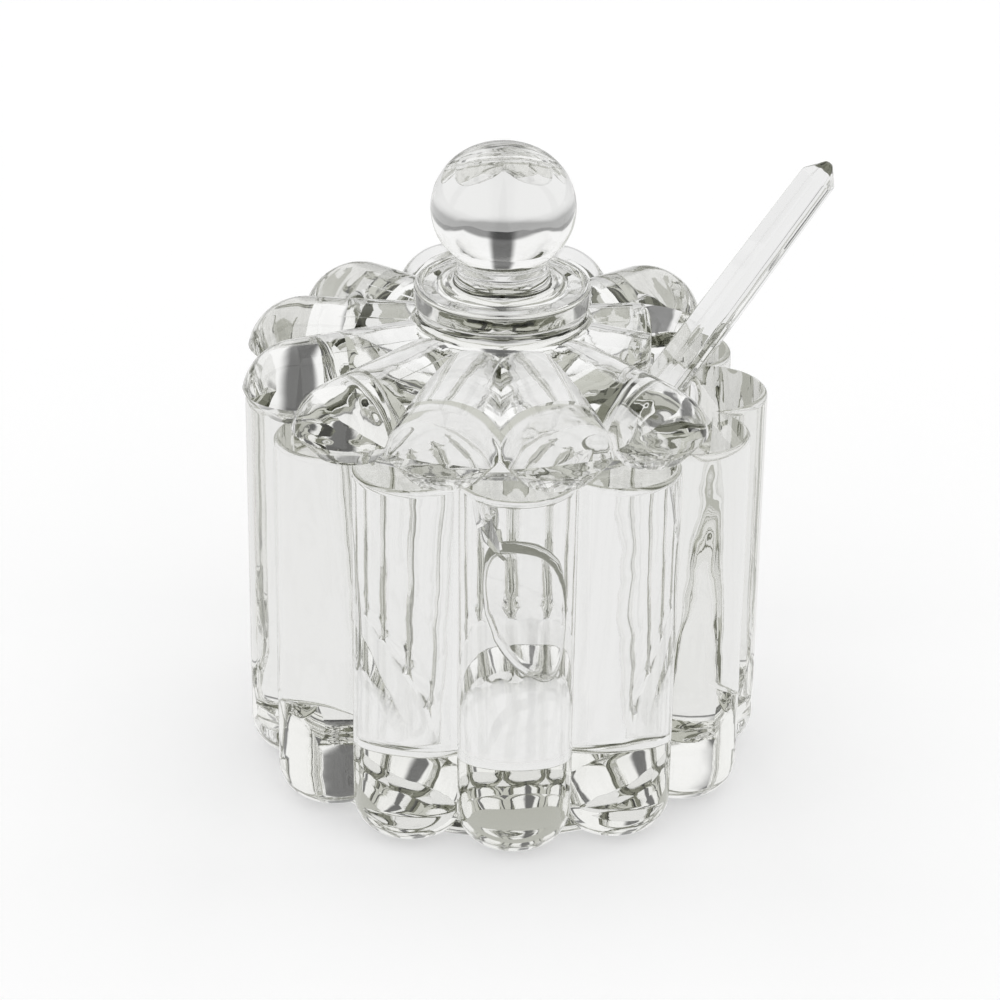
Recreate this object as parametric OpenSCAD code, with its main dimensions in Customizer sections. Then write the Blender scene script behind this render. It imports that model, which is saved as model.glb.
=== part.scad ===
// Fluted glass jam pot with a domed lid and a glass spoon.
// The foot stands on z = 0, round the z axis. The spoon leans towards +x.

/* [Flutes] */
// Number of flutes round the jar, and round a whole lid
flutes = 12; // [10:1:14]
// Swell of a jar flute, over half the pitch between two flutes
jar_flute_share = 1.09; // [1.06:0.01:1.14]
// Swell of a lid flute, over half the pitch between two flutes
lid_flute_share = 1.107; // [1.07:0.001:1.14]
// Turn of the jar's flutes from the front
jar_turn = 3.4; // [0:0.1:15]

/* [Jar] */
// Radius over the jar's flutes, below its flared rim
jar_r = 42.3; // [41:0.1:46]
// Height of the jar
jar_h = 65; // [56:1:80]
// Thickness of the wall at the mouth, behind the valley between two flutes
wall_t = 4.6; // [4:0.1:6]
// How much narrower the cavity is at its floor
draft = 1; // [0.2:0.1:2]
// Thickness of the floor
floor_t = 12; // [6:0.5:16]
// Rounding between the cavity's wall and floor
cavity_round = 4; // [1:0.5:6]
// Rounding of each flute at the foot
foot_round = 7; // [4:0.5:8]
// How much each flute widens from its foot to the rim
rim_flare = 0.5; // [0.1:0.1:1]
// Chamfer of the rim's edges, round the flutes and in the mouth
rim_chamfer = 1; // [0.9:0.1:1.2]
// How far the base stays inside the valleys between the flutes
base_inset = 1.5; // [1:0.1:3]

/* [Lid] */
// How far the lid's flutes reach out past the jar's
lid_over = 0.8; // [0.4:0.1:1.5]
// Height of the flutes above the rim, where they leave the neck
lid_rise = 12.9; // [12:0.1:15]
// Height of the flutes above the rim, over their round ends
lid_end_h = 11.7; // [10.5:0.1:12]
// Radius of a lid flute's roll, as a share of its rounder end's
roll_share = 0.97; // [0.96:0.01:0.98]
// How much slimmer every other roll is, so that no four faces meet in one point
roll_step = 0.1; // [0.04:0.02:0.2]
// Rounding under the lid's edge
lid_edge_round = 3.5; // [2:0.1:4]
// How much the lid's seat overlaps the rim between two flutes
seat_lap = 3.5; // [2:0.1:4]
// How far the locating ring reaches into the mouth
ring_h = 4; // [2:0.5:6]
// Play between the locating ring and the mouth
ring_play = 1.3; // [0.5:0.1:2]
// How far the lid has slid away from the spoon, within its play
lid_shift = 1; // [0:0.1:1]
// Wall of the locating ring
ring_wall = 4.9; // [3:0.1:6]
// Height of the hollow under the lid, above the rim
hollow_h = 6.5; // [6.2:0.1:7.5]
// Rounding of the hollow
hollow_round = 4; // [3:0.1:4.5]

/* [Spoon notch] */
// Width of the notch, in flutes
notch_flutes = 2; // [2:1:3]
// Direction of the notch, from the front towards +x
notch_turn = 90; // [90:15:120]
// How far each side of the notch cuts past the valley, in degrees
notch_ease = 1; // [0.5:0.1:2]
// How far the notch reaches in from the mouth
notch_depth = 6.6; // [6:0.1:8]

/* [Knob] */
// Radius of the neck under the collar
neck_r = 13.8; // [12:0.1:15]
// Radius of the neck's sweep into the dome
neck_sweep = 4; // [2:0.1:5]
// Height of the collar's underside above the rim
collar_z = 15.5; // [14.5:0.1:18]
// How far the collar stands out from the neck
collar_lip = 0.6; // [0.3:0.1:1.5]
// Height of the collar
collar_h = 3.7; // [2.5:0.1:5]
// Radius of the bead round the collar's top
bead_round = 0.8; // [0.5:0.1:1]
// Depth of the dish inside the bead
dish = 0.5; // [0.2:0.1:1]
// Radius of the stem under the knob
stem_r = 7.4; // [6:0.1:9]
// Height of the stem, from the dish to the ball
stem_h = 5.1; // [4.5:0.1:8]
// Radius of the stem's sweep into the dish
stem_sweep = 3.8; // [2:0.1:4]
// Radius of the thin ring where the stem meets the ball
stem_ring = 0.5; // [0.3:0.1:0.8]
// Width of the ball
ball_w = 23.5; // [20:0.5:28]
// Height of the ball, if it were whole
ball_h = 20.5; // [18:0.5:23]

/* [Spoon] */
// Length of the spoon
spoon_l = 107; // [95:1:125]
// Direction that the spoon leans to, from the front towards +x
spoon_turn = 100; // [95:1:105]
// Place of the bowl's tip on the floor, as a share of the mouth's radius
spoon_foot_share = 0.275; // [0.2:0.01:0.5]
// Thickness of the handle over its flats, at the bowl
handle_t = 7.4; // [6:0.1:8]
// Thickness of the handle over its flats, at its tip
handle_tip_t = 6; // [5:0.1:6]
// Length over which the handle swells out of the bowl
root_l = 9; // [6:0.5:12]
// Length of the handle's bevelled tip
tip_l = 3; // [1:0.5:5]
// Length of the bowl
bowl_l = 29; // [26:0.5:34]
// Width of the bowl
bowl_w = 21; // [18:0.5:24]
// Depth of the bowl, outside
bowl_depth = 6; // [5:0.1:7]
// Wall of the bowl
bowl_wall = 2.2; // [1.5:0.1:2.8]
// How far the bowl's edge stands in front of the middle of the handle
bowl_edge = 1; // [0:0.1:2]

/* [Fit] */
// Free gap between pieces that don't touch face to face
gap = 0.3; // [0.2:0.05:0.5]

/* [Hidden] */
$fn = 96;
glass = [0.84, 0.9, 0.88, 0.45];

// One overrun serves every cut
over = 2 * ring_h;
step = 360 / flutes;

// A flute is a circle on a pitch circle: both follow from the outer radius
jar_pitch_r = jar_r / (1 + jar_flute_share * sin(step / 2));
jar_flute_r = jar_r - jar_pitch_r;
valley_r = jar_pitch_r * cos(step / 2)
    + sqrt(jar_flute_r ^ 2 - (jar_pitch_r * sin(step / 2)) ^ 2);
base_r = valley_r - base_inset;
mouth_r = valley_r - wall_t;
// The flute's side leans out from its round foot, which it meets smoothly
flare = atan(rim_flare / (jar_h - foot_round));
foot_x = jar_flute_r - foot_round / cos(flare);
foot_edge = [foot_x + foot_round * cos(flare), foot_round * (1 - sin(flare))];
rim_edge = foot_edge + (jar_h - rim_chamfer - foot_edge[1]) * [tan(flare), 1];

lid_r = jar_r + lid_over;
lid_pitch_r = lid_r / (1 + lid_flute_share * sin(step / 2));
lid_flute_r = lid_r - lid_pitch_r;
end_z = lid_end_h - lid_flute_r;
lid_roll_r = lid_flute_r * roll_share;
lid_slope = atan((lid_rise - lid_roll_r - end_z) / (lid_pitch_r - neck_r - neck_sweep));
// The rounding under the edge meets the flute's round end smoothly
edge_x = sqrt((lid_flute_r - lid_edge_round) ^ 2 - (lid_edge_round - end_z) ^ 2);
edge_z = end_z + (lid_edge_round - end_z) * lid_flute_r / (lid_flute_r - lid_edge_round);
seat_r = mouth_r + seat_lap;
ring_r = mouth_r - ring_play;
hollow_r = ring_r - ring_wall;
notch_r = mouth_r - notch_depth;

collar_r = neck_r + collar_lip;
collar_top = collar_z + collar_h;
dish_z = collar_top - dish;
ball_r = ball_h / 2;
ball_flat = ball_w / 2 - ball_r;
ball_seat_z = dish_z + stem_h;
ball_z = ball_seat_z + sqrt(ball_r ^ 2 - (stem_r - ball_flat) ^ 2);

// The spoon's own x runs from the bowl's tip up the handle, and the bowl opens to its -y
mouth_edge = [mouth_r, jar_h - rim_chamfer];
// The bowl faces the front, on its side, so its wide middle lifts its tip off the floor
first_lean = atan2(jar_h - floor_t, mouth_r * (1 + spoon_foot_share));
bowl_rise = bowl_l / 2 * sin(first_lean);
tip_lift = norm([bowl_rise, bowl_w / 2 * cos(first_lean)]) - bowl_rise;
spoon_foot = [-mouth_r * spoon_foot_share, floor_t + gap + tip_lift];
reach = mouth_edge - spoon_foot;
// The handle tapers evenly from the end of its root to its bevelled tip
root_end = bowl_l + root_l / 2;
taper_l = spoon_l - tip_l - root_end;
handle_at_mouth = handle_t
    - (handle_t - handle_tip_t) * (norm(reach) - root_end) / taper_l;
lean = atan2(reach[1], reach[0])
    + asin((handle_at_mouth / 2 + gap) / norm(reach));
bowl_r = ((bowl_w / 2) ^ 2 + bowl_depth ^ 2) / (2 * bowl_depth);
bowl_long_r = ((bowl_l / 2) ^ 2 + bowl_depth ^ 2) / (2 * bowl_depth);

// Puts what is drawn pointing along +x on a ring of radius r, once for each flute
module ring(r, turn) {
    for (i = [0 : flutes - 1])
        rotate(turn + i * step - 90) translate([r, 0, 0]) {
            $slimmer = i % 2 * roll_step;
            children();
        }
}

module jar_flute_outline() {
    square([foot_x, foot_edge[1]]);
    intersection() {
        translate([foot_x, foot_round]) circle(foot_round);
        square([jar_flute_r, foot_edge[1]]);
    }
    polygon([
        [0, foot_edge[1]],
        foot_edge,
        rim_edge,
        [rim_edge[0] - rim_chamfer, jar_h],
        [0, jar_h]
    ]);
}

// Disc under the cavity, rounded at the foot like the flutes
module jar_base_outline() {
    square([base_r - foot_round, foot_round]);
    translate([base_r - foot_round, foot_round]) circle(foot_round);
    translate([0, foot_round]) square([base_r, floor_t + cavity_round - foot_round]);
}

module cavity_outline() {
    bottom_r = mouth_r - draft;
    translate([0, floor_t]) square([bottom_r - cavity_round, 2 * cavity_round]);
    translate([bottom_r - cavity_round, floor_t + cavity_round]) circle(cavity_round);
    polygon([
        [0, floor_t + cavity_round],
        [bottom_r, floor_t + cavity_round],
        mouth_edge,
        mouth_edge + (rim_chamfer + over) * [1, 1],
        [0, jar_h + over]
    ]);
}

module jar() {
    color(glass) difference() {
        union() {
            ring(jar_pitch_r, jar_turn) rotate_extrude() jar_flute_outline();
            rotate_extrude() jar_base_outline();
        }
        rotate_extrude() cavity_outline();
    }
}

// Round outer end of a lid flute: a ball, rounded in again under its edge
module lid_end_outline() {
    intersection() {
        translate([0, end_z]) circle(lid_flute_r);
        translate([0, edge_z]) square([lid_r, lid_r]);
    }
    square([edge_x, edge_z]);
    translate([edge_x, lid_edge_round]) circle(lid_edge_round);
}

// A flute's roll runs in from its end, a little uphill, and stops at the seat's plane
module lid_roll() {
    intersection() {
        translate([0, 0, end_z]) rotate([0, lid_slope - 90, 0])
            cylinder(r = lid_roll_r - $slimmer, h = lid_pitch_r);
        translate([-lid_r, -lid_r, 0]) cube([lid_r, 2 * lid_r, lid_r]);
    }
}

module hollow_outline() {
    translate([0, -over]) square([hollow_r, over + hollow_h - hollow_round]);
    translate([hollow_r - hollow_round, hollow_h - hollow_round]) circle(hollow_round);
    square([hollow_r - hollow_round, hollow_h]);
}

// Turned part of the lid: neck, collar with its bead and dish, stem and ball
module knob_outline() {
    difference() {
        translate([0, hollow_h]) square([neck_r + neck_sweep, collar_z - hollow_h]);
        translate([neck_r + neck_sweep, collar_z]) circle(neck_sweep);
    }
    difference() {
        union() {
            translate([0, collar_z]) square([collar_r - bead_round, collar_h]);
            translate([0, collar_z + bead_round])
                square([collar_r, collar_h - 2 * bead_round]);
            for (z = [collar_z + bead_round, collar_top - bead_round])
                translate([collar_r - bead_round, z]) circle(bead_round);
        }
        translate([0, dish_z]) square([collar_r - 2 * bead_round, over]);
    }
    difference() {
        translate([0, dish_z]) square([stem_r + stem_sweep, stem_sweep]);
        translate([stem_r + stem_sweep, dish_z + stem_sweep]) circle(stem_sweep);
    }
    translate([0, dish_z]) square([stem_r, stem_h]);
    translate([stem_r, ball_seat_z]) circle(stem_ring);
    translate([0, ball_z - ball_r]) square([ball_flat, ball_h]);
    intersection() {
        translate([ball_flat, ball_z]) circle(ball_r);
        translate([0, ball_z - ball_r]) square([ball_w, ball_h]);
    }
}

// Sector that leaves the spoon's handle room, open outwards and downwards
module notch() {
    half = notch_flutes * step / 2 + notch_ease;
    far = 2 * lid_r;
    rotate(notch_turn - 90) difference() {
        translate([0, 0, -over]) linear_extrude(over + lid_r)
            polygon([[0, 0], far * [cos(half), -sin(half)], far * [cos(half), sin(half)]]);
        translate([0, 0, -2 * over]) cylinder(r = notch_r, h = 3 * over + lid_r);
    }
}

module lid() {
    color(glass) translate([-lid_shift, 0, jar_h]) {
        difference() {
            union() {
                ring(lid_pitch_r, notch_turn + step / 2) {
                    rotate_extrude() lid_end_outline();
                    lid_roll();
                }
                cylinder(r = seat_r, h = lid_edge_round);
                translate([0, 0, -ring_h]) cylinder(r = ring_r, h = 2 * ring_h);
            }
            rotate_extrude() hollow_outline();
            notch();
        }
        rotate_extrude() knob_outline();
    }
}

// Side view of the handle, whose six flats come from three such slabs
module handle_slab() {
    translate([0, -handle_t, 0]) rotate([-90, 0, 0]) linear_extrude(2 * handle_t)
        polygon([
            [bowl_l - root_l / 2, 0],
            [root_end, -handle_t / 2],
            [spoon_l - tip_l, -handle_tip_t / 2],
            [spoon_l, 0],
            [spoon_l - tip_l, handle_tip_t / 2],
            [root_end, handle_t / 2]
        ]);
}

module bowl_spindle(wall) {
    rotate([0, 90, 0]) rotate_extrude() intersection() {
        translate([bowl_r - bowl_long_r, 0]) circle(bowl_long_r - wall);
        translate([0, -bowl_l]) square([bowl_r, 2 * bowl_l]);
    }
}

module spoon() {
    color(glass)
        rotate(spoon_turn - 90)
        translate([spoon_foot[0], 0, spoon_foot[1]])
        rotate([0, -lean, 0]) {
            translate([0, bowl_edge, 0]) intersection_for(a = [0, 60, 120])
                rotate([a, 0, 0]) handle_slab();
            rotate([90, 0, 0]) difference() {
                intersection() {
                    translate([bowl_l / 2, 0, bowl_r - bowl_depth]) bowl_spindle(0);
                    translate([0, -bowl_w, -bowl_w]) cube([bowl_l, 2 * bowl_w, bowl_w]);
                }
                translate([bowl_l / 2, 0, bowl_r - bowl_depth]) bowl_spindle(bowl_wall);
            }
        }
}

jar();
lid();
spoon();
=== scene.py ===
"""Fluted glass jam pot with a domed lid and a glass spoon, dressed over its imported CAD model."""
import math

import bpy
import bmesh
from mathutils import Matrix, Vector


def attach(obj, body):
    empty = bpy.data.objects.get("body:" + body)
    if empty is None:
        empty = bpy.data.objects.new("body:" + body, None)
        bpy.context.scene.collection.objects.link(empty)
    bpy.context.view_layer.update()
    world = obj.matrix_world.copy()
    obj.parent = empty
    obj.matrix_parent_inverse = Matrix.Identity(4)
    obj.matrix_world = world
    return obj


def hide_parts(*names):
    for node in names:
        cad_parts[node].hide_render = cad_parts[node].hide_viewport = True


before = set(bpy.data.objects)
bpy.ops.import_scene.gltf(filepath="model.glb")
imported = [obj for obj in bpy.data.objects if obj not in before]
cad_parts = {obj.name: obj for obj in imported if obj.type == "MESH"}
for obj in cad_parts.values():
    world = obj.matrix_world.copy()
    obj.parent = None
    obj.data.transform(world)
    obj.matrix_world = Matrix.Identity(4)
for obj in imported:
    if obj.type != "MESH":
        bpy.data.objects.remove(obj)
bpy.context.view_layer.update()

# Millimetres in the outlines below, metres in Blender
MM = 0.001
FLUTES = 12
STEP = 2 * math.pi / FLUTES
# How many steps a flute and a round form are turned in, and how far a cutter reaches past its cut
FLUTE_STEPS, ROUND_STEPS, PAST = 144, 192, 5

# The jar: its foot stands on z = 0, its rim is at RIM, and the lid sits a hair above it.
# A flute's swell is its radius over half the pitch between two, and its turn is from the front
RIM, SEAT_GAP = 65, 0.05
JAR_R, JAR_SWELL, JAR_TURN = 42.3, 1.09, math.radians(3.4)
WALL_T, DRAFT, FLOOR_T, CAVITY_ROUND = 4.6, 1, 12, 4
FOOT_ROUND, RIM_FLARE, RIM_ROUND = 6, 0.5, 1
# The slight dish under the foot, and the base between the flutes
DISH_R, DISH_H = 25, 3
BASE_INSET, BASE_ROUND = 0.5, 2.5

# The lid, with heights above the rim. LID_RISE is where the flutes reach the neck, END_H the top
# of their round ends, and LID_SHIFT how far the lid has slid from the spoon, within its play
LID_R, LID_SWELL, LID_RISE, END_H, LID_SHIFT = 43.1, 1.107, 12.9, 11.7, 1
# The leaning underside of a flute's end, and the cone that cuts it
EDGE_X, EDGE_LEAN, EDGE_REACH, EDGE_DROP, EDGE_LIP = 5.94, 1.15, 30, 20, 1
# The seat on the rim, the locating ring in the mouth and the domed hollow
SEAT_H, SEAT_LAP, RING_H, RING_PLAY, RING_WALL, RING_ROUND = 3.5, 3.5, 4, 1.3, 4.4, 0.8
HOLLOW_H, HOLLOW_EDGE = 6.2, 4.2
# The spoon's notch and its cutter
NOTCH_DEPTH, NOTCH_HALF, NOTCH_REACH, NOTCH_TALL = 6.6, math.radians(31), 90, 30
# The neck, the collar with its beaded edge, the stem and the ball, which is a little flat
NECK_R, NECK_SWEEP, COLLAR_Z, COLLAR_H, KNOB_ROOT = 13.8, 4, 15.5, 3.7, 2
COLLAR_R, BEAD, COLLAR_DISH = 14.4, 0.8, 0.5
STEM_R, STEM_H, STEM_SWEEP, STEM_BEAD = 7.4, 5.1, 3.8, 0.5
BALL_W, BALL_H = 23.5, 20.5

# The spoon: its own x runs from the bowl's tip up the handle
SPOON_L, SPOON_LEAN, SPOON_TURN = 107, math.radians(55.087), math.radians(10)
SPOON_FOOT = (-8.517, 0, 13.884)
HANDLE_T, ROOT_L, ROOT_R, HANDLE_ROUND = 7.4, 9, 0.02, 0.3
TIP_T, TIP_L, TIP_END = 5.8, 3, 0.2
BOWL_L, BOWL_W, BOWL_DEPTH, BOWL_WALL, BOWL_EDGE = 29, 21, 6, 2.2, 1
BOWL_RIM_L, BOWL_RIM_W, BOWL_ROUND = 2.3, 2.1, 0.7
# How much of a ball a cap is, from its pole, and how near a place a point has to be
CAP, NEAR_TO = math.radians(60), 0.01


def activate(obj):
    bpy.ops.object.select_all(action="DESELECT")
    obj.select_set(True)
    bpy.context.view_layer.objects.active = obj


def arc(centre, radius, start, end, steps):
    """Points of an arc, in degrees from +x, ends included."""
    return [
        (centre[0] + radius * math.cos(math.radians(start + (end - start) * i / steps)),
         centre[1] + radius * math.sin(math.radians(start + (end - start) * i / steps)))
        for i in range(steps + 1)
    ]


def draw(name, points):
    """A chain of edges in the xz plane, one vertex extruded from point to point."""
    points = [Vector((x * MM, 0, z * MM)) for x, z in points]
    points = [p for i, p in enumerate(points) if i == 0 or (p - points[i - 1]).length > 1e-6]
    bpy.ops.object.select_all(action="DESELECT")
    bpy.ops.mesh.primitive_plane_add(size=MM, location=(0, 0, 0))
    obj = bpy.context.object
    obj.name = obj.data.name = name
    bpy.ops.object.mode_set(mode="EDIT")
    bpy.ops.mesh.merge(type="CENTER")
    bpy.ops.transform.translate(value=points[0])
    for here, there in zip(points, points[1:]):
        bpy.ops.mesh.extrude_region_move(TRANSFORM_OT_translate={"value": there - here})
    bpy.ops.object.mode_set(mode="OBJECT")
    return obj


def tidy(obj, threshold=1e-6):
    """Merges doubled points and turns all faces outwards."""
    activate(obj)
    bpy.ops.object.mode_set(mode="EDIT")
    bpy.ops.mesh.select_all(action="SELECT")
    bpy.ops.mesh.remove_doubles(threshold=threshold)
    bpy.ops.mesh.dissolve_degenerate(threshold=threshold)
    bpy.ops.mesh.normals_make_consistent(inside=False)
    bpy.ops.object.mode_set(mode="OBJECT")
    return obj


def turned(name, points, steps):
    """A closed solid spun round the z axis from an outline that starts and ends on it."""
    obj = draw(name, points)
    activate(obj)
    bpy.ops.object.mode_set(mode="EDIT")
    bpy.ops.mesh.select_all(action="SELECT")
    bpy.ops.mesh.spin(steps=steps, angle=2 * math.pi, center=(0, 0, 0), axis=(0, 0, 1))
    bpy.ops.object.mode_set(mode="OBJECT")
    return tidy(obj)


def place(obj, matrix):
    """Puts a piece somewhere, with its place in its mesh."""
    obj.matrix_world = matrix
    activate(obj)
    bpy.ops.object.transform_apply(location=True, rotation=True, scale=True)
    return obj


def combine(obj, other, how):
    activate(obj)
    step = obj.modifiers.new("cut", "BOOLEAN")
    step.operation, step.solver, step.object = how, "EXACT", other
    bpy.ops.object.modifier_apply(modifier=step.name)
    bpy.data.objects.remove(other)
    return obj


def slice_off(obj, point, normal, fill=False):
    """Cuts away what lies on the normal's side of a plane."""
    activate(obj)
    bpy.ops.object.mode_set(mode="EDIT")
    bpy.ops.mesh.select_all(action="SELECT")
    bpy.ops.mesh.bisect(plane_co=point, plane_no=normal, use_fill=fill, clear_outer=True,
                        threshold=1e-7)
    bpy.ops.object.mode_set(mode="OBJECT")
    return obj


def repeat(obj, turn):
    """Keeps one flute's wedge round the front (-y) and repeats it all round, merged into one."""
    for side in (-1, 1):
        slice_off(obj, (0, 0, 0), (side * math.cos(STEP / 2), math.sin(STEP / 2), 0))
    place(obj, Matrix.Rotation(turn, 4, "Z"))
    wedges = [obj]
    for i in range(1, FLUTES):
        wedge = obj.copy()
        wedge.data = obj.data.copy()
        bpy.context.collection.objects.link(wedge)
        place(wedge, Matrix.Rotation(i * STEP, 4, "Z"))
        wedges.append(wedge)
    bpy.ops.object.select_all(action="DESELECT")
    for wedge in wedges:
        wedge.select_set(True)
    bpy.context.view_layer.objects.active = obj
    bpy.ops.object.join()
    return tidy(obj, 2e-6)


def smooth(obj, degrees=32):
    activate(obj)
    bpy.ops.object.shade_smooth_by_angle(angle=math.radians(degrees))
    return obj


# The jar: one flute, its share of the base and its share of the cavity, repeated all round
swell = JAR_SWELL * math.sin(STEP / 2)
jar_pitch = JAR_R / (1 + swell)
jar_flute = JAR_R - jar_pitch
jar_valley = jar_pitch * math.cos(STEP / 2) + math.sqrt(
    jar_flute ** 2 - (jar_pitch * math.sin(STEP / 2)) ** 2)
flare = math.degrees(math.atan(RIM_FLARE / (RIM - FOOT_ROUND)))
foot_x = jar_flute - FOOT_ROUND / math.cos(math.radians(flare))
side_x = foot_x + FOOT_ROUND * math.cos(math.radians(flare))
side_z = FOOT_ROUND * (1 - math.sin(math.radians(flare)))
rim_x = side_x + (RIM - RIM_ROUND - side_z) * math.tan(math.radians(flare))
top = RIM - SEAT_GAP

jar = turned(
    "jar",
    [(0, 0)] + arc((foot_x, FOOT_ROUND), FOOT_ROUND, -90, -flare, 18)
    + arc((rim_x - RIM_ROUND, top - RIM_ROUND), RIM_ROUND, -flare, 90, 7) + [(0, top)],
    FLUTE_STEPS)
place(jar, Matrix.Translation((0, -jar_pitch * MM, 0)))
base_r = jar_valley - BASE_INSET
mouth_r = jar_valley - WALL_T
ring_r = mouth_r - RING_PLAY
hollow_r = ring_r - RING_WALL
base = turned(
    "base",
    [(0, 0)] + arc((base_r - BASE_ROUND, BASE_ROUND), BASE_ROUND, -90, 0, 8)
    + [(base_r, FLOOR_T + CAVITY_ROUND), (0, FLOOR_T + CAVITY_ROUND)],
    ROUND_STEPS)
combine(jar, base, "UNION")
dish_curve = (DISH_R ** 2 + DISH_H ** 2) / (2 * DISH_H)
dish_span = math.degrees(math.asin(DISH_R / dish_curve))
dish = turned(
    "dish",
    [(0, -PAST), (DISH_R, -PAST)]
    + arc((0, DISH_H - dish_curve), dish_curve, 90 - dish_span, 90, 24),
    ROUND_STEPS)
combine(jar, dish, "DIFFERENCE")
bottom_r = mouth_r - DRAFT
cavity = turned(
    "cavity",
    [(0, FLOOR_T)]
    + arc((bottom_r - CAVITY_ROUND, FLOOR_T + CAVITY_ROUND), CAVITY_ROUND, -90, 0, 10)
    + [(mouth_r, top - RIM_ROUND)]
    + arc((mouth_r + RIM_ROUND, top - RIM_ROUND), RIM_ROUND, 180, 90, 7)[1:]
    + [(mouth_r + RIM_ROUND, RIM + PAST), (0, RIM + PAST)],
    ROUND_STEPS)
combine(jar, cavity, "DIFFERENCE")
jar = smooth(repeat(jar, JAR_TURN))

# The lid
swell = LID_SWELL * math.sin(STEP / 2)
lid_pitch = LID_R / (1 + swell)
lid_flute = LID_R - lid_pitch
end_z = END_H - lid_flute
slope = math.atan((LID_RISE - lid_flute - end_z) / (lid_pitch - NECK_R - NECK_SWEEP))

# One flute: a ball and the roll that runs in from it, turned round the roll's own axis
lid = turned("lid", arc((0, 0), lid_flute, -90, 0, 36) + [(lid_flute, lid_pitch), (0, lid_pitch)],
             FLUTE_STEPS)
place(lid, Matrix.Translation((0, -lid_pitch * MM, end_z * MM))
      @ Matrix.Rotation(-(math.pi / 2 - slope), 4, "X"))
slice_off(lid, (0, 0, 0), (0, 0, -1), fill=True)
tidy(lid)
under = turned(
    "under",
    [(0, -EDGE_DROP), (EDGE_REACH, -EDGE_DROP), (EDGE_REACH, EDGE_LEAN * (EDGE_REACH - EDGE_X)),
     (EDGE_X, 0), (EDGE_X, -EDGE_LIP), (0, -EDGE_LIP)],
    FLUTE_STEPS)
slice_off(under, (0, EDGE_LIP * MM, 0), (0, 1, 0), fill=True)
place(tidy(under), Matrix.Translation((0, -lid_pitch * MM, 0)))
combine(lid, under, "DIFFERENCE")
seat = turned(
    "seat",
    [(0, -RING_H)] + arc((ring_r - RING_ROUND, -RING_H + RING_ROUND), RING_ROUND, -90, 0, 5)
    + [(ring_r, 0), (mouth_r + SEAT_LAP, 0), (mouth_r + SEAT_LAP, SEAT_H), (0, SEAT_H)],
    ROUND_STEPS)
combine(lid, seat, "UNION")
collar_top = COLLAR_Z + COLLAR_H
stem_z = collar_top - COLLAR_DISH
stem_top = stem_z + STEM_H
ball_x = BALL_W / 2 - BALL_H / 2
ball_z = stem_top + math.sqrt((BALL_H / 2) ** 2 - (STEM_R - ball_x) ** 2)
knob = turned(
    "knob",
    [(0, HOLLOW_H - KNOB_ROOT), (NECK_R + NECK_SWEEP, HOLLOW_H - KNOB_ROOT)]
    + arc((NECK_R + NECK_SWEEP, COLLAR_Z), NECK_SWEEP, -90, -180, 12)
    + arc((COLLAR_R - BEAD, COLLAR_Z + BEAD), BEAD, -90, 0, 6)
    + arc((COLLAR_R - BEAD, collar_top - BEAD), BEAD, 0, 180, 12)
    + [(COLLAR_R - 2 * BEAD, stem_z)]
    + arc((STEM_R + STEM_SWEEP, stem_z + STEM_SWEEP), STEM_SWEEP, -90, -180, 12)
    + [(STEM_R, stem_top - STEM_BEAD)]
    + arc((STEM_R, stem_top), STEM_BEAD, -90, 50, 8)
    + arc((ball_x, ball_z), BALL_H / 2, -32, 90, 40)
    + [(0, ball_z + BALL_H / 2)],
    ROUND_STEPS)
combine(lid, knob, "UNION")
dome_curve = (hollow_r ** 2 + (HOLLOW_H - HOLLOW_EDGE) ** 2) / (2 * (HOLLOW_H - HOLLOW_EDGE))
dome_span = math.degrees(math.asin(hollow_r / dome_curve))
hollow = turned(
    "hollow",
    [(0, -RING_H - PAST), (hollow_r + RING_ROUND, -RING_H - PAST),
     (hollow_r + RING_ROUND, -RING_H)]
    + arc((hollow_r + RING_ROUND, -RING_H + RING_ROUND), RING_ROUND, -90, -180, 5)[1:]
    + arc((0, HOLLOW_H - dome_curve), dome_curve, 90 - dome_span, 90, 24),
    ROUND_STEPS)
combine(lid, hollow, "DIFFERENCE")
lid = repeat(lid, math.pi / 2 + STEP / 2)

# The notch is cut once, by an upright face swept round the middle one degree at a time
notch_r = mouth_r - NOTCH_DEPTH
notch = draw("notch", [(notch_r, -NOTCH_TALL), (NOTCH_REACH, -NOTCH_TALL),
                       (NOTCH_REACH, NOTCH_TALL), (notch_r, NOTCH_TALL)])
activate(notch)
bpy.ops.object.mode_set(mode="EDIT")
bpy.ops.mesh.select_all(action="SELECT")
bpy.ops.mesh.edge_face_add()
bpy.ops.object.mode_set(mode="OBJECT")
place(notch, Matrix.Rotation(NOTCH_HALF, 4, "Z"))
activate(notch)
bpy.ops.object.mode_set(mode="EDIT")
bpy.ops.mesh.select_all(action="SELECT")
bpy.ops.mesh.spin(steps=round(math.degrees(2 * NOTCH_HALF)), angle=2 * NOTCH_HALF,
                  center=(0, 0, 0), axis=(0, 0, 1))
bpy.ops.object.mode_set(mode="OBJECT")
combine(lid, tidy(notch), "DIFFERENCE")
place(tidy(lid), Matrix.Translation((-LID_SHIFT * MM, 0, RIM * MM)))
smooth(lid)

# The spoon: a bowl from two nested caps, and a six-sided handle grown from a point inside it


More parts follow.
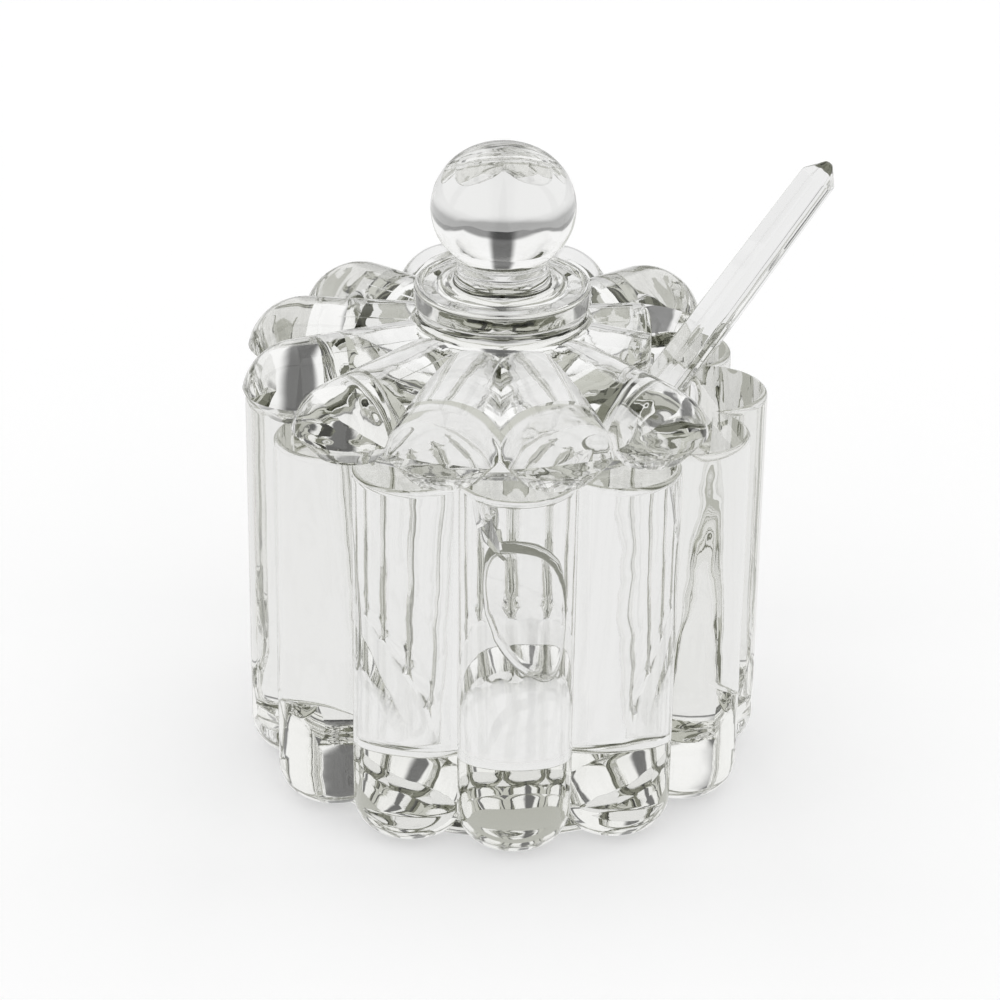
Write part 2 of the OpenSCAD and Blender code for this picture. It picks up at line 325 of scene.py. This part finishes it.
def cap(name, half_length, half_width, depth):
    """The bottom of a stretched ball, open on the plane of the bowl's edge."""
    bpy.ops.object.select_all(action="DESELECT")
    bpy.ops.mesh.primitive_uv_sphere_add(segments=96, ring_count=36, radius=MM, location=(0, 0, 0))
    obj = bpy.context.object
    obj.name = name
    high = depth / (1 - math.cos(CAP))
    place(obj, Matrix.Translation((BOWL_L / 2 * MM, 0, high * math.cos(CAP) * MM))
          @ Matrix.Diagonal((half_length / math.sin(CAP), half_width / math.sin(CAP), high, 1)))
    activate(obj)
    bpy.ops.object.mode_set(mode="EDIT")
    bpy.ops.mesh.select_mode(type="FACE")
    bpy.ops.mesh.select_all(action="DESELECT")
    mesh = bmesh.from_edit_mesh(obj.data)
    for face in mesh.faces:
        face.select_set(face.calc_center_median().z > 0)
    bmesh.update_edit_mesh(obj.data)
    bpy.ops.mesh.delete(type="FACE")
    bpy.ops.object.mode_set(mode="OBJECT")
    return obj


inner_l, inner_w = BOWL_L / 2 - BOWL_RIM_L, BOWL_W / 2 - BOWL_RIM_W
spoon = cap("spoon", BOWL_L / 2, BOWL_W / 2, BOWL_DEPTH)
bpy.ops.object.mode_set(mode="EDIT")
bpy.ops.mesh.select_mode(type="EDGE")
bpy.ops.mesh.select_all(action="DESELECT")
bpy.ops.mesh.select_non_manifold()
bpy.ops.mesh.extrude_edges_move()
bpy.ops.transform.resize(value=(inner_l / BOWL_L * 2, inner_w / BOWL_W * 2, 1),
                         center_override=(BOWL_L / 2 * MM, 0, 0))
bpy.ops.object.mode_set(mode="OBJECT")
inside = cap("inside", inner_l, inner_w, BOWL_DEPTH - BOWL_WALL)
bpy.ops.object.select_all(action="DESELECT")
inside.select_set(True)
spoon.select_set(True)
bpy.context.view_layer.objects.active = spoon
bpy.ops.object.join()
tidy(spoon)


def pick_edges(obj, test):
    """Selects the edges whose ends, in mm, and angle pass a test, ready for an operator."""
    activate(obj)
    bpy.ops.object.mode_set(mode="EDIT")
    bpy.ops.mesh.select_mode(type="EDGE")
    bpy.ops.mesh.select_all(action="DESELECT")
    mesh = bmesh.from_edit_mesh(obj.data)
    for edge in mesh.edges:
        a, b = (v.co / MM for v in edge.verts)
        edge.select_set(len(edge.link_faces) == 2
                        and test(a, b, math.degrees(edge.calc_face_angle(0))))
    bmesh.update_edit_mesh(obj.data)


pick_edges(spoon, lambda a, b, angle: max(abs(a.z), abs(b.z)) < NEAR_TO and angle > 25)
bpy.ops.mesh.bevel(offset=BOWL_ROUND * MM, segments=6, profile=0.5, affect="EDGES")
bpy.ops.object.mode_set(mode="OBJECT")
place(spoon, Matrix.Rotation(math.pi / 2, 4, "X"))

root_end = BOWL_L + ROOT_L / 2
bpy.ops.object.select_all(action="DESELECT")
bpy.ops.mesh.primitive_cone_add(
    vertices=6, radius1=ROOT_R * MM, radius2=HANDLE_T / 2 / math.cos(math.pi / 6) * MM,
    depth=ROOT_L * MM, location=(0, 0, 0))
handle = bpy.context.object
place(handle, Matrix.Translation((BOWL_L * MM, BOWL_EDGE * MM, 0))
      @ Matrix.Rotation(math.pi / 2, 4, "Y") @ Matrix.Rotation(math.pi / 2, 4, "Z"))
activate(handle)
bpy.ops.object.mode_set(mode="EDIT")
bpy.ops.mesh.select_mode(type="FACE")
bpy.ops.mesh.select_all(action="DESELECT")
mesh = bmesh.from_edit_mesh(handle.data)
for face in mesh.faces:
    face.select_set(all(abs(v.co.x / MM - root_end) < NEAR_TO for v in face.verts))
bmesh.update_edit_mesh(handle.data)
for length, size in ((SPOON_L - TIP_L - root_end, TIP_T / HANDLE_T), (TIP_L, TIP_END)):
    bpy.ops.mesh.extrude_region_move(TRANSFORM_OT_translate={"value": (length * MM, 0, 0)})
    bpy.ops.transform.resize(value=(1, size, size))
bpy.ops.object.mode_set(mode="OBJECT")
tidy(handle)
pick_edges(handle, lambda a, b, angle: angle > 15 and min(a.x, b.x) > root_end - NEAR_TO)
bpy.ops.mesh.bevel(offset=HANDLE_ROUND * MM, segments=4, profile=0.5, affect="EDGES",
                   clamp_overlap=True)
bpy.ops.object.mode_set(mode="OBJECT")
combine(spoon, tidy(handle), "UNION")
place(tidy(spoon), Matrix.Rotation(SPOON_TURN, 4, "Z")
      @ Matrix.Translation(Vector(SPOON_FOOT) * MM) @ Matrix.Rotation(-SPOON_LEAN, 4, "Y"))
smooth(spoon, 26)

for piece in (jar, lid, spoon):
    activate(piece)
    even = piece.modifiers.new("even", "WEIGHTED_NORMAL")
    even.keep_sharp, even.weight = True, 50
    bpy.ops.object.modifier_apply(modifier=even.name)


# Glass
def linear(hex_colour):
    """An sRGB hex colour as linear red, green, blue and alpha."""
    parts = [int(hex_colour[i:i + 2], 16) / 255 for i in (1, 3, 5)]
    return [c / 12.92 if c <= 0.04045 else ((c + 0.055) / 1.055) ** 2.4 for c in parts] + [1]


def node(tree, kind, settings=(), **values):
    """Adds a node. Values set its sockets, by name or as in0, in1, or link them to a socket."""
    made = tree.nodes.new(kind)
    for key, value in dict(settings).items():
        setattr(made, key, value)
    for key, value in values.items():
        at = int(key[2:]) if key.startswith("in") else key.replace("_", " ")
        socket = made.inputs[at]
        if isinstance(value, bpy.types.NodeSocket):
            tree.links.new(value, socket)
        else:
            socket.default_value = value
    return made


# How often light turns round inside the glass, and how many surfaces it meets, before it leaves
MOST_TURNS, MOST_STEPS = 3.5, 11.5


def pressed_glass(name, wave_mm, depth_mm):
    """Pressed soda-lime glass, fire-polished: clear, faintly olive where it is thick, and
    mirror-smooth but for the soft waves that the mould leaves."""
    material = bpy.data.materials.new(name)
    material.use_nodes = True
    tree = material.node_tree
    tree.nodes.clear()
    place_at = node(tree, "ShaderNodeTexCoord")
    waves = node(tree, "ShaderNodeTexNoise", Vector=place_at.outputs["Object"],
                 Scale=1 / (wave_mm * MM), Detail=1.5, Roughness=0.4)
    bump = node(tree, "ShaderNodeBump", Height=waves.outputs["Fac"],
                Distance=depth_mm * MM, Strength=1.0)
    surface = node(tree, "ShaderNodeBsdfPrincipled", Base_Color=linear("#FEFEFE"), Roughness=0.0,
                   IOR=1.5, Transmission_Weight=1.0, Normal=bump.outputs["Normal"])
    inside = node(tree, "ShaderNodeVolumeAbsorption", Color=linear("#D3D3C8"), Density=6.0)
    # Light that has turned round inside the glass many times goes straight out, and is dimmed
    ray = node(tree, "ShaderNodeLightPath")
    turned_back = node(tree, "ShaderNodeMath", {"operation": "GREATER_THAN"},
                       in0=ray.outputs["Glossy Depth"], in1=MOST_TURNS)
    deep = node(tree, "ShaderNodeMath", {"operation": "GREATER_THAN"},
                in0=ray.outputs["Ray Depth"], in1=MOST_STEPS)
    leaving = node(tree, "ShaderNodeMath", {"operation": "MAXIMUM"},
                   in0=turned_back.outputs["Value"], in1=deep.outputs["Value"])
    straight = node(tree, "ShaderNodeBsdfTransparent", Color=(0.6, 0.605, 0.56, 1))
    glass = node(tree, "ShaderNodeMixShader", in0=leaving.outputs["Value"],
                 in1=surface.outputs["BSDF"], in2=straight.outputs["BSDF"])
    node(tree, "ShaderNodeOutputMaterial", Surface=glass.outputs["Shader"],
         Volume=inside.outputs["Volume"])
    return material


# Each pressing has its own waves: their length and their depth in millimetres
body_glass = pressed_glass("pressed_glass_pot", 8, 0.09)
lid_glass = pressed_glass("pressed_glass_lid", 6, 0.17)
spoon_glass = pressed_glass("pressed_glass_spoon", 5, 0.05)
for piece, glass, body, slot in (
        (jar, body_glass, "jar", "jar"),
        (lid, lid_glass, "lid", "lid"),
        (spoon, spoon_glass, "spoon", "spoon")):
    piece.name = piece.data.name = body + "_glass"
    piece.data.materials.clear()
    piece.data.materials.append(glass)
    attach(piece, body)
    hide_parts(body)

# Floor: matt white paper that keeps the pot's shadow. Seen straight, it glows up to white. Seen
# through glass, it is white near the pot and greys with distance, between two distances in metres
SEEN_GLOW, THROUGH_GLOW, FAR_GLOW = 0.40, 0.88, 0.40
NEAR, FAR = 0.30, 0.70
FLOOR_SIZE, FLOOR_Z = 6, -0.0002
bpy.ops.object.select_all(action="DESELECT")
bpy.ops.mesh.primitive_plane_add(size=FLOOR_SIZE, location=(0, 0, FLOOR_Z))
floor = bpy.context.object
floor.name = "floor"
white = bpy.data.materials.new("matt_white_paper")
white.use_nodes = True
tree = white.node_tree
tree.nodes.clear()
paper = node(tree, "ShaderNodeBsdfDiffuse", Color=linear("#DADADA"))
glow = node(tree, "ShaderNodeEmission", Color=(1, 1, 1, 1), Strength=SEEN_GLOW)
lit = node(tree, "ShaderNodeAddShader", in0=paper.outputs["BSDF"], in1=glow.outputs["Emission"])
place_at = node(tree, "ShaderNodeTexCoord")
away = node(tree, "ShaderNodeVectorMath", {"operation": "LENGTH"}, in0=place_at.outputs["Object"])
level = node(tree, "ShaderNodeMapRange", {"interpolation_type": "SMOOTHSTEP"},
             Value=away.outputs["Value"], From_Min=NEAR, From_Max=FAR,
             To_Min=THROUGH_GLOW, To_Max=FAR_GLOW)
through = node(tree, "ShaderNodeEmission", Color=(1, 1, 1, 1), Strength=level.outputs["Result"])
ray = node(tree, "ShaderNodeLightPath")
behind = node(tree, "ShaderNodeMath", {"operation": "MAXIMUM"},
              in0=ray.outputs["Is Transmission Ray"], in1=ray.outputs["Is Glossy Ray"])
bare = node(tree, "ShaderNodeMixShader", in0=ray.outputs["Is Camera Ray"],
            in1=paper.outputs["BSDF"], in2=lit.outputs["Shader"])
seen = node(tree, "ShaderNodeMixShader", in0=behind.outputs["Value"],
            in1=bare.outputs["Shader"], in2=through.outputs["Emission"])
node(tree, "ShaderNodeOutputMaterial", Surface=seen.outputs["Shader"])
floor.data.materials.append(white)

# Light: a white room, dim along the horizon, with four narrow dim posts round it. The thin grey
# lines in the glass are these. Each height, from 0 at the horizon to 1 overhead, has its level
ROOM = ((0.0, 0.25), (0.04, 0.25), (0.08, 0.95), (0.6, 1.05), (0.9, 1.0), (1.0, 0.8))
BAYS, BAY_START, HALF_BAY = 4, 0.5, 0.5
POST_FROM, POST_TO, POST_DARK = 0.40, 0.45, 0.15
world = bpy.data.worlds.new("studio")
bpy.context.scene.world = world
world.use_nodes = True
tree = world.node_tree
tree.nodes.clear()
looking = node(tree, "ShaderNodeTexCoord")
parts = node(tree, "ShaderNodeSeparateXYZ", Vector=looking.outputs["Generated"])
height = node(tree, "ShaderNodeValToRGB", Fac=parts.outputs["Z"])
ramp = height.color_ramp
while len(ramp.elements) < len(ROOM):
    ramp.elements.new(0.5)
for stop, (position, level) in zip(ramp.elements, ROOM):
    stop.position, stop.color = position, (level, level, level, 1)
around = node(tree, "ShaderNodeMath", {"operation": "ARCTAN2"},
              in0=parts.outputs["X"], in1=parts.outputs["Y"])
bay = node(tree, "ShaderNodeMath", {"operation": "MULTIPLY_ADD"},
           in0=around.outputs["Value"], in1=BAYS / (2 * math.pi), in2=BAY_START)
across = node(tree, "ShaderNodeMath", {"operation": "PINGPONG"},
              in0=bay.outputs["Value"], in1=HALF_BAY)
post = node(tree, "ShaderNodeMapRange", {"interpolation_type": "SMOOTHSTEP"},
            Value=across.outputs["Value"], From_Min=POST_FROM, From_Max=POST_TO,
            To_Min=1.0, To_Max=POST_DARK)
bright = node(tree, "ShaderNodeVectorMath", {"operation": "SCALE"},
              in0=height.outputs["Color"], Scale=post.outputs["Result"])
room = node(tree, "ShaderNodeBackground", Color=bright.outputs["Vector"], Strength=1.0)
plain = node(tree, "ShaderNodeBackground", Color=(1, 1, 1, 1), Strength=1.0)
ray = node(tree, "ShaderNodeLightPath")
seen = node(tree, "ShaderNodeMixShader", in0=ray.outputs["Is Camera Ray"],
            in1=room.outputs["Background"], in2=plain.outputs["Background"])
node(tree, "ShaderNodeOutputWorld", Surface=seen.outputs["Shader"])

# Camera, aimed a little below and beside the middle of the rim
DISTANCE = 0.75
VIEW_UP, AIM_DOWN, AIM_SIDE, ROLL = map(math.radians, (24.4, 1.376, 0.077, 0.8))
camera = bpy.data.objects.new("camera", bpy.data.cameras.new("camera"))
bpy.context.collection.objects.link(camera)
camera.data.sensor_width, camera.data.lens = 36, 165
camera.data.clip_start, camera.data.clip_end = 0.01, 20
camera.location = (0, -DISTANCE * math.cos(VIEW_UP), RIM * MM + DISTANCE * math.sin(VIEW_UP))
camera.rotation_euler = (
    Matrix.Rotation(AIM_SIDE, 4, "Z") @ Matrix.Rotation(math.pi / 2 - VIEW_UP - AIM_DOWN, 4, "X")
    @ Matrix.Rotation(ROLL, 4, "Z")).to_euler()
bpy.context.scene.camera = camera
bpy.context.scene.view_settings.view_transform = "Standard"

bpy.context.view_layer.update()
